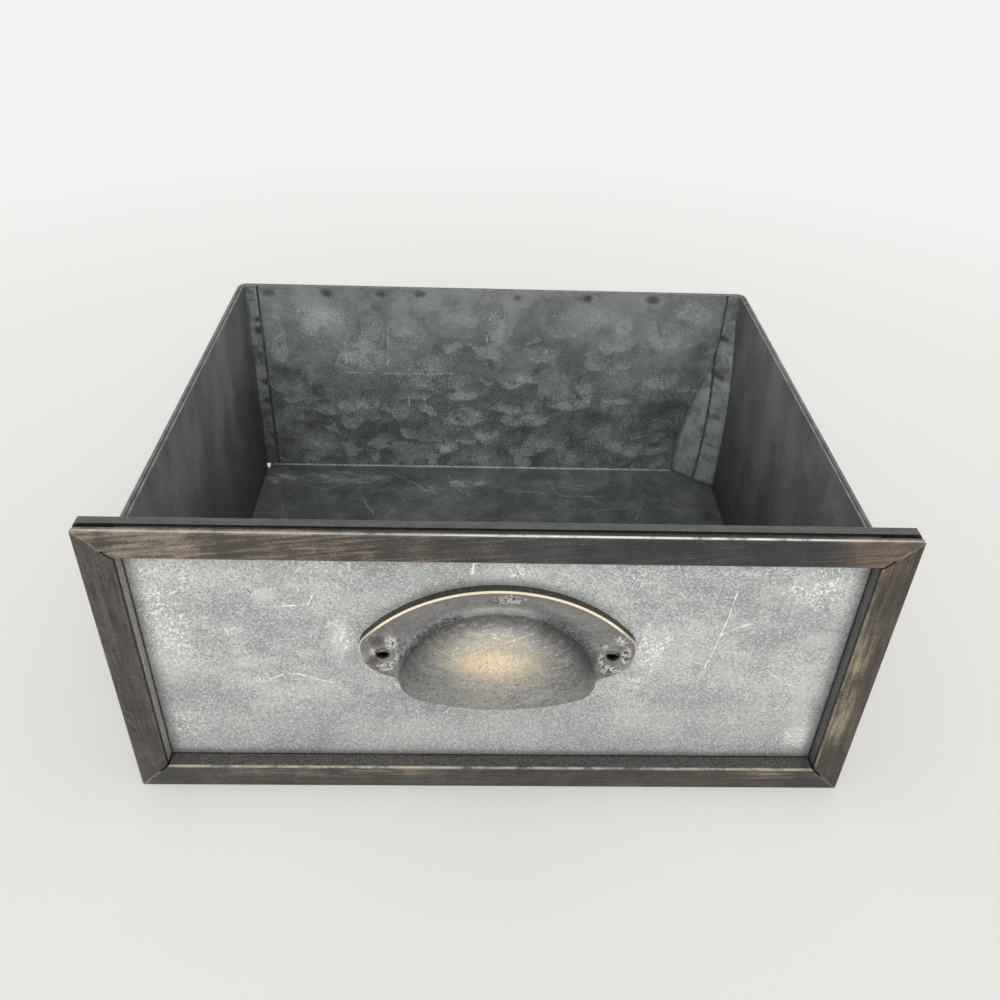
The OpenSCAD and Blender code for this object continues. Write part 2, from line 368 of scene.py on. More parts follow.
@dataclass
class Rail:
    """A rail of the trim, with how it is measured and how strongly each kind of wear and painted highlight
    shows on it.
    """

    node: str
    edge: Callable  # distance from its outer edge
    run: Callable  # place along it
    half: float  # half its length
    tones: Callable  # its dark and its light colour
    back: tuple  # screen levels of its inner return
    shine: Callable  # strength of the painted highlight on the outer bend
    scuffs: Callable  # slanting scuffs
    inner: float  # strength of the wear and painted highlight on the inner bend
    groove: float  # black line in the inner bend
    seed: float
    lean: float = 0.0  # slope of its streaks


def trim_streaks(g, rail):
    """Brushed streaks with dark and bright hairs, and slanting scuffs."""
    slanted = g.join(g.run - g.edge, g.run + g.edge, g.y)
    cross = g.noise(0.6, 3, 0.7, stretch=(9, 1, 3), seed=rail.seed + 7, point=slanted)
    patch = g.noise(16, 3, 0.6, seed=rail.seed + 9)
    dark, light = rail.tones(g, g.run, g.edge)
    color = g.mix(dark, light, g.step(g.streak * 0.45 + patch * 0.35 + g.grain * 0.2, 0.42, 0.66))
    color = g.paint(color, (20, 18, 17), g.step(g.hair * 0.5 + g.grain * 0.5, 0.48, 0.28) * 0.45)
    color = g.paint(color, (172, 160, 146), g.step(g.hair * 0.6 + g.grain * 0.4, 0.56, 0.76) * 0.5)
    return g.paint(color, (166, 156, 144), g.step(cross, 0.62, 0.74) * rail.scuffs(g, g.run) * 0.5)


def trim_bends(g, rail, color):
    """Worn bends along both edges of the face, brightened with painted highlights."""
    # Painted highlight, with wear, along the outer bend
    outer = g.step(g.edge * 1.73 + g.depth, 1.08, 0.92)
    color = g.paint(color, (224, 219, 210), outer * rail.shine(g, g.run) * g.step(g.chips, 0.2, 0.55))
    # Painted highlight, with wear, along the inner bend
    inner = g.step(RAIL - g.edge + g.depth, 1.05, 0.75)
    return g.paint(color, (190, 178, 160), inner * g.step(g.chips, 0.3, 0.6) * rail.inner)


def trim_mitre(g, rail, color):
    """Mitre scribed through the finish, black in its gap."""
    mitre = abs(rail.half - abs(g.run) - g.edge) + (g.chips - 0.5) * 0.4
    color = g.paint(color, (18, 16, 15), g.step(mitre, 0.35, 0.1) * 0.6)
    color = g.paint(color, (4, 4, 4), g.step(mitre, 1.0, 0.7) * g.step(g.ny, -0.7, -0.4))
    bright = g.band(mitre, 0.3, 0.45, 0.2) * g.step(g.chips, 0.42, 0.56)
    return g.paint(color, (190, 178, 164), bright * 0.6)


def trim_return(g, rail, color):
    """Grey inner return between two black lines."""
    inside = g.step(g.edge, RAIL - 0.3, RAIL - 0.05) * g.step(g.depth, 0.8, 1.3)
    dark, light = (srgb(*(share * level for level in rail.back)) for share in (0.6, 1.3))
    color = g.mix(color, g.mix(dark, light, g.step(g.grain, 0.3, 0.7)), inside * 0.9)
    bend = g.band(g.depth + (RAIL - g.edge) * 0.5, 0.9, 1.7, 0.35) * g.step(g.edge, RAIL - 1, RAIL - 0.3)
    color = g.paint(color, (8, 7, 7), bend * rail.groove)
    return g.paint(color, (8, 8, 8), inside * g.step(g.depth, 5.9, 6.6) * 0.95)


def trim_material(rail):
    """Dark bronze with fine brushed streaks, bright worn bends and a grey return."""
    g = Graph("bronze_" + rail.node, 0.3)
    g.edge = rail.edge(g)
    g.run = rail.run(g)
    g.depth = g.y - FACE_Y
    brushed = g.join(g.run, g.edge + g.run * rail.lean, g.y)
    g.streak = g.noise(1.3, 4, 0.66, stretch=(18, 1, 3), seed=rail.seed, point=brushed)
    g.hair = g.noise(0.5, 3, 0.7, stretch=(22, 1, 3), seed=rail.seed + 5, point=brushed)
    g.grain = g.noise(0.7, 2, 0.7, seed=rail.seed + 11)
    g.chips = g.noise(7, 4, 0.7, seed=rail.seed + 13)
    color = trim_streaks(g, rail)
    color = trim_bends(g, rail, color)
    color = trim_mitre(g, rail, color)
    color = trim_return(g, rail, color)
    height = g.streak * 0.5 + g.hair * 0.4 + g.grain * 0.25
    return g.finish(color, 0.38 + g.streak * 0.2, height, 0.05)


def top_tones(g, run, edge):
    """Tan on the left, smooth blue-black to the right, coppery at the right corner."""
    warm = g.step(run, 30, -75)
    copper = g.step(run, 104, 120)
    dark = g.mix(srgb(46, 46, 48), srgb(72, 65, 59), g.most(warm, copper))
    light = g.mix(srgb(70, 70, 71), srgb(160, 144, 127), warm)
    return dark, g.paint(light, (128, 106, 90), copper)


def bottom_tones(g, run, edge):
    """Grey-brown, with tan rubbed into the inner half at two places."""
    tan = g.step(edge, 5, 9) * g.most(g.band(run, -95, -40, 20), g.step(run, 95, 112))
    return srgb(58, 56, 53), g.mix(srgb(90, 85, 79), srgb(146, 133, 116), tan)


def left_tones(g, run, edge):
    """Dark grey-brown, redder along the outer edge."""
    return g.mix(srgb(64, 51, 46), srgb(53, 51, 48), g.step(edge, 1, 4)), srgb(96, 89, 82)


def right_tones(g, run, edge):
    """Brown, with a golden rubbed zone in the inner half and a coppery top."""
    gold = g.band(run, -26, 10, 22) * g.band(edge, 7, 10, 3)
    light = g.mix(srgb(98, 88, 77), srgb(158, 145, 118), gold)
    return srgb(57, 53, 47), g.paint(light, (126, 104, 88), g.step(run, 30, 52) * 0.7)


RAILS = [
    Rail("trim_top", edge=lambda g: FRONT_Z - g.z, run=lambda g: g.x, half=FRONT_X, tones=top_tones,
         back=(80, 78, 76), shine=lambda g, run: 0.35 + g.band(run, 15, 85, 60) * 0.55,
         scuffs=lambda g, run: g.step(run, 0, -60) * 0.3, inner=0.15, groove=0.0, seed=3, lean=0.1),
    Rail("trim_bottom", edge=lambda g: g.z, run=lambda g: g.x, half=FRONT_X, tones=bottom_tones,
         back=(84, 82, 80), shine=lambda g, run: 0.15,
         scuffs=lambda g, run: 0.3, inner=0.5, groove=0.0, seed=17),
    # Its return's pale levels are painted light, brightening a return that lies in shade
    Rail("trim_left", edge=lambda g: g.x + FRONT_X, run=lambda g: g.z - FRONT_Z / 2, half=FRONT_Z / 2,
         tones=left_tones, back=(166, 162, 156), shine=lambda g, run: 0.1,
         scuffs=lambda g, run: g.step(run, 20, -20) * 1.6, inner=0.1, groove=0.95, seed=31),
    Rail("trim_right", edge=lambda g: FRONT_X - g.x, run=lambda g: g.z - FRONT_Z / 2, half=FRONT_Z / 2,
         tones=right_tones, back=(104, 101, 99), shine=lambda g, run: 0.1,
         scuffs=lambda g, run: 0.2, inner=0.35, groove=0.8, seed=43),
]


# Aged brass cup pull

def brass_edge(g, h):
    """Distance inward from the flange's outline: the arch, then the ears' upper and lower roundings."""
    ear_x = PULL_X - EAR_R
    arch_h = PULL_H - ARCH_R
    arch = ARCH_R - g.vector("LENGTH", g.join(g.x, h - arch_h))
    upper = EAR_R - g.vector("LENGTH", g.join(abs(g.x) - ear_x, h - EAR_SHOULDER))
    lower = EAR_LOW_R - g.vector("LENGTH", g.join(abs(g.x) - (PULL_X - EAR_LOW_R), h - EAR_SHOULDER))
    sector = abs(g.x) * ((EAR_SHOULDER - arch_h) / ear_x) - (h - arch_h)
    side = arch + (upper - arch) * g.step(sector, -0.3, 0.3)
    return side + (lower - side) * g.step(h, EAR_SHOULDER + 0.2, EAR_SHOULDER - 0.2)


# Pale crust left by heat on the flange: centre across and up, half width, half height, strength
BRASS_CRUST = [
    (-38.6, 17.4, 3.0, 4.2, 1.0), (-45.6, 12.6, 1.8, 3, 0.7), (-40.4, 5.4, 5, 3, 1.0),
    (-36.8, 10.5, 1.4, 4, 0.7), (3, 38.4, 6.5, 2.4, 1.0), (44.4, 19.4, 3, 3.4, 0.9),
    (46.6, 12, 2.2, 5, 1.0), (41, 4.8, 5, 2.6, 1.0), (37.6, 9, 1.8, 5, 0.8), (38.6, 16, 2, 2, 0.6),
]
# Brown stains of the same form
BRASS_BROWN = [
    (-45.2, 8, 3, 5, 1.0), (-43.6, 18, 3.6, 3.4, 1.0), (45, 16.6, 3, 2.4, 0.8), (-1, 37.6, 4, 2, 0.7),
]


def brass_patina_and_reflection(g):
    """Grey, paler at the flange's top and at the foot of the cup; painted reflection makes the cup's middle
    paler than its sides and top.
    """
    cloud = g.noise(9, 3, 0.6, seed=47)
    tone = g.step(cloud * 0.5 + g.speckle * 0.5, 0.36, 0.64)
    flange = g.mix(srgb(106, 106, 105), srgb(146, 144, 142), tone)
    flange = g.paint(flange, (172, 170, 168), g.step(g.h, 22, 31) * 0.35)
    # Painted reflection: the cup paler in its middle than at its sides and top
    middle = g.spot(g.flat, (-1, 16), (35, 21)) + (g.brushed - 0.5) * 0.8
    cup = g.mix(srgb(100, 101, 101), srgb(154, 151, 143), g.step(middle, 1.0, 0.2))
    cup = g.paint(cup, (160, 158, 152), g.step(g.h, 13, 3) * 0.5)
    return g.mix(flange, cup, g.dome)


def brass_gold_and_highlight(g, color):
    """Golden patch, rubbed through the patina and brightened with a painted highlight, with fine pits and
    hair scratches that cross.
    """
    rub_and_highlight = g.spot(g.flat, (-1, 20), (20, 12.5)) + (g.fine - 0.5) * 1.6 + (g.slant - 0.5) * 1.6
    core = g.spot(g.flat, (-2.5, 20.6), (15, 6)) + (g.fine - 0.5) * 2.2 + (g.hair - 0.5) * 2.2
    # Rubbed brass with a painted highlight over the middle of the cup
    color = g.paint(color, (196, 180, 152), g.step(rub_and_highlight, 1.1, 0.2) * g.dome * 0.55)
    color = g.paint(color, (230, 212, 178), g.step(core, 1.2, 0.2) * g.dome * 0.8)
    scuff = g.fine * 0.45 + g.hair * 0.25 + g.slant * 0.3
    pit = g.mix(srgb(44, 42, 40), srgb(120, 102, 78), g.step(core, 1.4, 0.6) * g.dome)
    color = g.mix(color, pit, g.step(scuff, 0.49, 0.37) * (0.3 + g.dome * 0.4))
    bright = 0.2 + g.step(rub_and_highlight, 1.6, 0.4) * g.dome * 0.65
    return g.paint(color, (250, 246, 236), g.step(scuff, 0.52, 0.64) * bright)


def brass_grime_and_shade(g, color):
    """Painted shade on the upper fillet and the cup's sides; dark dirt in the crease, thin on the left and
    wide on the right.
    """
    # Painted shade on the upper fillet
    fillet = g.band(g.depth, FLANGE_D + 0.2, FLANGE_D + 1.3, 0.5) * g.step(g.h, 16, 28)
    color = g.paint(color, (72, 72, 72), fillet * 0.4)
    # Painted shade on the cup's sides, broken by the brushing
    sides = g.step(abs(g.x), 20, 36) * g.dome
    color = g.paint(color, (78, 78, 78), sides * (0.15 + g.step(g.brushed, 0.6, 0.4) * 0.3))
    off = abs(g.from_axis - (CUP_R + 0.3)) + (g.speckle - 0.5) * 5
    left = g.step(off, 1.4, 0.2) * g.band(g.x, -36, -15, 4)
    right = g.step(off, 4.4, 0.6) * g.band(g.x, 16, 34, 6)
    crease = g.most(left * 0.8, right * 0.75) * g.step(g.h, 3, 10)
    return g.paint(color, (26, 26, 26), crease * g.step(g.fine, 0.36, 0.6))


def brass_heat_and_hole_shade(g, color):
    """Brown stains and pale crust where heat marked the flange, and painted shade in and round the ear
    holes; gives the crust's height too.
    """
    ragged = (g.speckle - 0.5) * 1.6
    stain = g.clusters(g.flat, BRASS_BROWN, ragged)
    color = g.paint(color, (78, 68, 65), stain * g.on_flange * 0.75)
    curl = g.noise(1.6, 3, 0.75, seed=61, warp=0.6)
    near = g.clusters(g.flat, BRASS_CRUST, ragged)
    color = g.paint(color, (52, 49, 47), near * g.step(curl, 0.5, 0.44) * g.on_flange * 0.8)
    flakes = g.most(g.step(abs(curl - 0.5), 0.04, 0.01), g.step(curl, 0.55, 0.6))
    color = g.paint(color, (248, 246, 240), g.step(near, 0.1, 0.8) * flakes * g.on_flange * 0.9)
    # Painted shade in and round the ear holes
    hole_shade = g.vector("LENGTH", g.join(abs(g.x) - HOLE_X, g.h - HOLE_H))
    color = g.paint(color, (40, 37, 36), g.step(hole_shade + (g.speckle - 0.5) * 1.5, 3.2, 2.3) * 0.7)
    return color, near * flakes


def brass_rim(g, color):
    """Bright line along the flange's edge, thin at the ears; dark brown skirt behind it."""
    rim = brass_edge(g, g.h) + (g.speckle - 0.5) * 0.5
    color = g.paint(color, (120, 106, 82), g.step(rim, 4, 0.5) * g.on_flange * g.step(g.h, 14, 24) * 0.5)
    line = g.step(rim, 1.1, 0.7) * g.step(g.h, 18, 27)
    thin = g.step(rim, 0.6, 0.3) * g.step(g.h, 6, 14) * 0.6
    color = g.paint(color, (255, 244, 218), g.most(line, thin) * g.on_flange * 0.97)
    skirt = g.step(g.depth, FLANGE_D - 0.25, FLANGE_D - 0.4)
    tone = g.step(g.speckle * 0.4 + g.fine * 0.6, 0.46, 0.68)
    return g.mix(color, g.mix(srgb(26, 22, 17), srgb(100, 88, 71), tone), skirt * 0.95)


def brass_material():
    g = Graph("aged_brass", 0.45)
    g.h = g.z - PULL_Z
    g.depth = PANEL_Y - g.y
    g.flat = g.join(g.x, g.h)
    g.from_axis = g.vector("LENGTH", g.join(g.x, g.h + CUP_DROP))
    g.dome = g.step(g.depth, FLANGE_D + 1.0, FLANGE_D + 3)
    g.on_flange = g.step(g.from_axis, CUP_R + 1.2, CUP_R + 2.6)
    g.fine = g.noise(0.9, 2, 0.75, seed=41)
    g.speckle = g.noise(1.5, 3, 0.7, seed=43)
    g.hair = g.noise(0.7, 2, 0.7, stretch=(5, 3, 1), seed=53)
    g.slant = g.noise(0.9, 2, 0.7, stretch=(4, 1, 1), seed=55, point=g.join(g.x + g.h, g.y, g.h - g.x))
    g.brushed = g.noise(1.6, 3, 0.6, stretch=(7, 4, 1), seed=59)
    color = brass_gold_and_highlight(g, brass_patina_and_reflection(g))
    color = brass_grime_and_shade(g, color)
    color, crust = brass_heat_and_hole_shade(g, color)
    color = brass_rim(g, color)
    height = g.hair * 0.5 + g.slant * 0.4 + g.speckle * 0.5 + g.fine * 0.4 + crust * 1.5
    return g.finish(color, 0.36 + g.speckle * 0.2, height, 0.06)


# Dark galvanised sheet

# Pale clouds, crisp scallops and dark patches on the back's inside: centre across and up, half width and
# height, strength
BACK_CLOUDS = [
    (-93, 97, 17, 10, 1.0), (-117, 84, 6, 13, 0.8), (-73, 72, 20, 7, 0.7), (-36, 68, 14, 9, 0.8),
    (-50, 88, 16, 10, 0.3), (57, 101, 12, 6, 0.6), (108, 104, 12, 7, 0.8), (96, 92, 12, 9, 0.6),
    (27, 78, 9, 6, 0.5), (-100, 16, 16, 5, 0.5),
]
BACK_SCALLOPS = [
    (-117, 82, 6, 14, 0.7), (-73, 74, 19, 9, 0.5), (-66, 90, 8, 12, 0.5), (-30, 62, 17, 9, 0.5),
    (2, 94, 5, 12, 0.6), (71, 97, 5, 7, 0.7), (94, 90, 10, 9, 0.6), (12, 62, 8, 6, 0.7),
    (27, 77, 8, 5, 0.6), (95, 64, 11, 8, 0.6), (44, 47, 12, 5, 0.8), (53, 58, 6, 6, 0.6),
    (14, 36, 8, 5, 0.8), (26, 36, 8, 5, 0.7), (-2, 26, 8, 5, 0.7), (27, 19, 8, 6, 0.7),
    (-92, 42, 9, 6, 0.6), (-70, 46, 8, 6, 0.5), (-52, 40, 6, 6, 0.5), (-14, 37, 11, 7, 0.8),
    (-25, 18, 6, 7, 0.8), (84, 18, 7, 8, 0.6), (-8, 11, 10, 6, 0.5), (-80, 33, 7, 6, 0.5),
    (48, 10, 8, 5, 0.5), (58, 73, 7, 5, 0.5), (36, 92, 7, 5, 0.4), (-18, 51, 8, 4, 0.5),
    (69, 50, 7, 4, 0.4), (-106, 36, 7, 4, 0.4),
]
BACK_DARK = [
    (-112, 62, 12, 9, 0.8), (-100, 50, 14, 8, 0.6), (-104, 31, 14, 8, 0.7), (-94, 7, 10, 3, 0.8),
    (96, 43, 12, 14, 0.6), (114, 78, 6, 12, 0.6), (-30, 54, 14, 5, 0.5), (8, 48, 16, 6, 0.4),
    (60, 36, 16, 7, 0.5),
]
# Scratches on it: points across and up
BACK_SCRATCHES = [
    [(-82, 64.2), (-54, 64), (-22, 64.5)], [(-21.6, 20.3), (-4, 20.1)], [(-46.6, 50), (-46.4, 43)],
    [(-37.5, 49), (-37.4, 42)], [(-80.7, 84), (-80.4, 70)], [(-70.9, 84), (-70.6, 72)],
    [(-56.2, 96), (-57.9, 70)], [(-87.1, 82), (-83.5, 78)], [(2.9, 103.6), (-3.6, 96), (-3.1, 85)],
]
# Scratches on the floor: across, and distance from the back
FLOOR_SCRATCHES = [
    [(-55, 8), (-47, 17), (-36, 26), (-28, 23)], [(-105, 21), (-96, 23), (-86, 20), (-76, 14)],
    [(-24, 9), (-21, 18), (-14, 24), (-6, 33)], [(-54, 37), (-42, 33), (-30, 27)],
    [(-72, 31), (-67, 42), (-63, 51)], [(-56, 42), (-56, 52)], [(43, 40), (64, 40), (81, 39)],
    [(91, 28), (85, 40), (82, 49)], [(9, 22), (27, 25), (44, 28), (65, 28)],
    [(33, 10), (38, 23), (44, 34)], [(57, 45), (61, 40)],
]
# Dust on the floor: the same, then half width, half depth and strength
FLOOR_DUST = [
    (-120, 14, 12, 9, 0.8), (-86, 13, 30, 7, 0.8), (-12, 16, 18, 5, 0.9), (-34, 22, 14, 6, 0.6),
    (40, 18, 30, 8, 0.3),
]
# Weld marks: places across under the back's rim, and heights on the side walls' tabs
RIM_WELD_Z = 111.2
RIM_WELDS = (-119, -88, -60, -39.5, 12.3, 49.5, 85)
LEFT_WELDS = (96, 89.5, 70.5, 58, 46, 23)
RIGHT_WELDS = (90.5, 70.4, 46.8, 29)


def scales(g, sizes, point):
    """Overlapping patches, each brightest along its crisp lower edge, which leans to either side."""
    drift, chance = g.cells(sizes, point)
    across = drift[0] + drift[1]
    fall = drift[2] + across * (chance[1] - 0.5) * 2.4
    return g.step(fall, 0.4, -0.35) * g.step(chance[0], 0.6, 0.95) * g.step(abs(g.nz), 0.8, 0.4)


def galvanised(name):
    """Slate sheet with soft cloudy patches, some with a crisp lower edge and a frost of pale grain."""
    g = Graph(name, 0.2)
    cloud = g.noise(40, 3, 0.55, seed=61)
    g.fog = g.noise(7, 4, 0.66, seed=71)
    blotch = g.noise(13, 3, 0.6, seed=73, warp=0.4)
    g.grain = g.noise(0.9, 2, 0.7, seed=67)
    wide = scales(g, (22, 22, 16), g.warped(5, 11, 2))
    small = scales(g, (11, 11, 8), g.warped(3, 7, 5))
    g.scales = g.most(wide * 0.6, small) * g.step(g.z, 124, 84)
    tone = (cloud - 0.5) * 0.6 + (blotch - 0.5) * 0.7 + (g.fog - 0.5) * 0.45 + (g.scales - 0.2) * 0.4
    pale = g.step(tone, -0.38, 0.46)
    color = g.mix(srgb(66, 70, 72), srgb(146, 150, 151), pale)
    color = g.paint(color, (94, 112, 112), g.step(g.noise(18, 2, 0.6, seed=109), 0.5, 0.62) * 0.3)
    color = g.paint(color, (36, 39, 40), g.step(g.grain, 0.5, 0.26) * 0.7)
    color = g.paint(color, (210, 213, 213), g.step(g.grain, 0.5, 0.74) * (0.15 + pale * 0.6))
    return g, color


def galvanised_finish(g, color):
    height = g.fog * 1.0 + g.grain * 0.3 + g.scales * 0.6
    return g.finish(color, 0.4 + g.fog * 0.2, height, 0.08)


def scallops(g, flat, places, ragged):
    """Pale patches with a soft top and a crisp lower edge: centre, half width, half height, strength."""
    total = None
    up = g.split(flat)[1]
    for x, z, wide, tall, strength in places:
        outline = g.step(g.spot(flat, (x, z), (wide, tall)) + ragged, 1.1, 0.8)
        one = outline * g.step(up, z + tall, z - 0.5 * tall) * strength
        total = one if total is None else g.most(total, one)
    return total


def tab_paint(g, color, heights):
    """Blotchy paler sheet of a welded tab, with a dark smudge at each weld, rubbed pale below it."""
    color = g.paint(color, (176, 180, 181), 0.15 + g.step(g.fog, 0.4, 0.62) * 0.5)
    flat = g.join(abs(g.x), g.z)
    ragged = (g.fog - 0.5) * 2.2
    for z in heights:
        pale = g.step(g.spot(flat, (WALL_X - 4, z - 4), (4.6, 2.4)) + ragged, 1.1, 0.3)
        color = g.paint(color, (186, 189, 189), pale * 0.4)
        smudge = g.step(g.spot(flat, (WALL_X - 5.6, z), (3.8, 2.4)) + ragged, 1.2, 0.2)
        color = g.paint(color, (40, 42, 43), smudge * 0.7)
    return color


def raw_top(g, color):
    """Raw edge along the top, rubbed in places."""
    top = g.step(g.z, WALL_Z - 0.5, WALL_Z - 0.1) * g.step(g.nz, 0.3, 0.7)
    return g.paint(color, (140, 139, 133), top * (0.15 + g.step(g.fog, 0.42, 0.62) * 0.6))


def back_patches_and_top_light(g, color):
    """Painted light, paler towards the top of the back; dark and pale patches, and broken scratches."""
    # Painted light: the back paler towards its top
    lit_top_mottle = g.step(g.noise(16, 3, 0.6, seed=113), 0.4, 0.62)
    color = g.paint(color, (172, 176, 177), g.on_back * g.step(g.z, 30, 112) * (0.25 + lit_top_mottle * 0.3))
    color = g.paint(color, (58, 62, 65), g.clusters(g.back, BACK_DARK, g.ragged) * g.on_back * 0.6)
    clouds = g.clusters(g.back, BACK_CLOUDS, g.ragged) * 0.8
    frost = g.most(clouds, scallops(g, g.back, BACK_SCALLOPS, g.ragged * 0.6)) * g.on_back
    color = g.paint(color, (186, 191, 192), frost * (0.1 + g.step(g.fog, 0.34, 0.62) * 0.55))
    color = g.paint(color, (230, 233, 233), frost * g.step(g.grain, 0.5, 0.68) * 0.6)
    for points in BACK_SCRATCHES:
        line = g.step(g.stroke(g.back, points) + g.wobble, 0.6, 0.1)
        color = g.paint(color, (208, 212, 212), line * g.broken * g.on_back * 0.75)
    return color


def floor_marks(g, color):
    """Darker floor with smeared dust and bent scratches, and the bright fold at the foot of the back."""
    on_floor = g.step(g.nz, 0.5, 0.8)
    color = g.paint(color, (56, 59, 59), on_floor * 0.35)
    smear = g.noise(1.8, 3, 0.7, stretch=(5, 2, 1), seed=101)
    dust = g.clusters(g.join(g.x, g.from_back), FLOOR_DUST, g.ragged) * on_floor
    color = g.paint(color, (130, 133, 133), dust * (0.3 + g.step(g.fog, 0.45, 0.6) * 0.5))
    color = g.paint(color, (190, 193, 193), dust * g.step(smear, 0.46, 0.66) * 0.7)
    bent = g.split(g.warped(5, 18, 9))
    bent_floor = g.join(bent[0], BACK_Y - bent[1])
    for points in FLOOR_SCRATCHES:
        line = g.step(g.stroke(bent_floor, points) + g.wobble * 0.7, 0.7, 0.15)
        color = g.paint(color, (176, 179, 179), line * (0.1 + g.broken * 0.6) * on_floor * 0.7)
    fold = g.band(g.x, -127, 109, 2) * g.step(g.from_back, 1.2, 0.8) * g.band(g.z, 2.2, 2.7, 0.3)
    return g.paint(color, (176, 178, 175), fold * (0.2 + g.broken * 0.4))


def back_welds_and_tab_shadows(g, color):
    """Dark dents of the rim's welds, and painted shadow along the edges of the side walls' tabs."""
    for x in RIM_WELDS:
        dent = g.spot(g.back, (x, RIM_WELD_Z), (4.2, 2.6)) + (g.fog - 0.5) * 2
        color = g.paint(color, (50, 51, 52), g.step(dent, 1.2, 0.2) * g.on_back * 0.7)
    # Painted shadow along the edge of each side wall's tab
    tab_edge_shadow = g.step(abs(g.x), WALL_X - 8.4, WALL_X - 7.6) * g.on_back
    return g.paint(color, (34, 36, 37), tab_edge_shadow * (0.4 + g.step(g.fog, 0.4, 0.55) * 0.4))


def sheet_material():
    """Floor and back, one folded sheet."""
    g, color = galvanised("dark_galvanised_sheet")
    g.on_back = g.step(g.ny, -0.4, -0.8) * g.step(g.z, 2.5, 4)
    g.back = g.join(g.x, g.z)
    g.from_back = BACK_Y - g.y
    g.ragged = (g.fog - 0.5) * 2.2
    g.wobble = (g.noise(2.4, 2, 0.6, seed=73) - 0.5) * 0.9
    g.broken = g.step(g.noise(2.2, 3, 0.7, seed=79), 0.42, 0.62)
    color = back_patches_and_top_light(g, color)
    color = floor_marks(g, color)
    color = back_welds_and_tab_shadows(g, color)
    return galvanised_finish(g, raw_top(g, color))


def wall_inside(g, from_back):
    """Smooth inside of a side wall, with painted light towards the top and painted shade towards the floor
    and the back.
    """
    soft = g.noise(22, 3, 0.55, stretch=(1, 1, 1.6), seed=107)
    color = g.mix(srgb(112, 114, 115), srgb(138, 139, 141), g.step(soft, 0.34, 0.66))
    # Painted light towards the top
    color = g.paint(color, (180, 181, 181), g.step(g.z, 45, 108) * (0.2 + g.step(soft, 0.4, 0.6) * 0.2))
    # Painted shade towards the floor
    color = g.paint(color, (24, 26, 26), g.step(g.z + (soft - 0.5) * 20, 96, 4) * 0.78)
    # Painted shadow towards the back
    color = g.paint(color, (30, 32, 32), g.step(from_back + (soft - 0.5) * 30, 60, 8) * 0.42)
    color = g.paint(color, (30, 32, 33), g.step(g.grain, 0.5, 0.28) * 0.4)
    return g.paint(color, (178, 181, 181), g.step(g.grain, 0.5, 0.74) * 0.2)


def wall_material(name, heights):
    """Side wall: plain outside, smooth inside, with a paler welded tab on the back, given painted shade
    towards its foot.
    """
    g, color = galvanised("dark_galvanised_" + name)
    from_back = BACK_Y - g.y
    # The tab gets painted shade towards its foot
    tab = g.paint(tab_paint(g, color, heights), (44, 46, 47), g.step(g.z, 70, 20) * 0.5)
    color = g.mix(color, wall_inside(g, from_back), g.step(g.nx * g.x, -20, -60) * 0.85)
    color = g.mix(color, tab, g.step(from_back, 1.2, 0.8) * g.step(g.ny, -0.4, -0.8))
    return galvanised_finish(g, raw_top(g, color))


def front_wall_material():
    """Front wall: galvanised inside the bin, dark paint round the trim, and painted shade on its front faces
    in the gap behind the trim.
    """
    g, color = galvanised("dark_galvanised_front")
    streak = g.noise(1.6, 3, 0.6, stretch=(20, 1, 1), seed=89)
    tone = g.step(streak * 0.4 + g.fog * 0.3 + g.grain * 0.3, 0.36, 0.64)
    paint = g.mix(srgb(66, 66, 64), srgb(98, 98, 95), tone)
    # Painted shade on the front faces, which lie in the gap behind the trim
    paint = g.paint(paint, (22, 21, 20), g.step(g.ny, -0.3, -0.7) * 0.9)
    return galvanised_finish(g, g.mix(paint, color, g.step(g.ny, 0.4, 0.7)))


def rim_material():
    """Rim: a rubbed fold along the top, brightened as a painted highlight."""
    g, color = galvanised("dark_galvanised_rim")
    fold = g.step(g.z, WALL_Z - 1.6, WALL_Z - 0.5)
    # Rubbed fold with a painted highlight along the top
    color = g.paint(color, (124, 122, 116), fold * (0.2 + g.step(g.fog, 0.4, 0.64) * 0.5))
    return galvanised_finish(g, color)


# The right tab's seam, bent with the dent: points across and up
DENT_SEAM = [(124, 111), (123.4, 85), (123.2, 64), (122.6, 45), (121.8, 25), (120.5, 4)]


def dent_material():
    """Buckled corner: the tab's sheet, paler towards its foot, with painted shade at its tip and a painted
    shadow along the tab's edge.
    """
    g, color = galvanised("dark_galvanised_dent")
    color = tab_paint(g, color, RIGHT_WELDS)
    color = g.paint(color, (176, 180, 181), g.step(g.z, 90, 40) * 0.25)
    # Painted shade at the tip, which faces up into the light
    color = g.paint(color, (48, 50, 51), g.step(g.z, 80, 98) * 0.55)
    # Painted shadow along the tab's edge, bent with the dent
    tab_edge_shadow = g.step(g.stroke(g.join(g.x, g.z), DENT_SEAM) + (g.fog - 0.5) * 1.8, 1.0, 0.2)
    color = g.paint(color, (26, 28, 29), tab_edge_shadow * (0.5 + g.step(g.fog, 0.38, 0.56) * 0.4))
    return galvanised_finish(g, color)


# Buckled sheet in the right rear corner: height, left edge across, and how far it reaches in front of the
# back at the side wall
DENT_ROWS = [
    (1.8, 108.8, 17), (5, 108.4, 17.2), (16, 108.6, 17.5), (26, 109.7, 17.6), (34, 111.4, 17.6),
    (44, 113.3, 17.4), (53, 115.4, 16.8), (62, 118.4, 15.4), (70, 120.8, 13), (78, 122.4, 10.4),
    (85, 123.6, 8), (92, 124.6, 5.2), (98, 125, 2.6), (103, 125, 0.2),
]


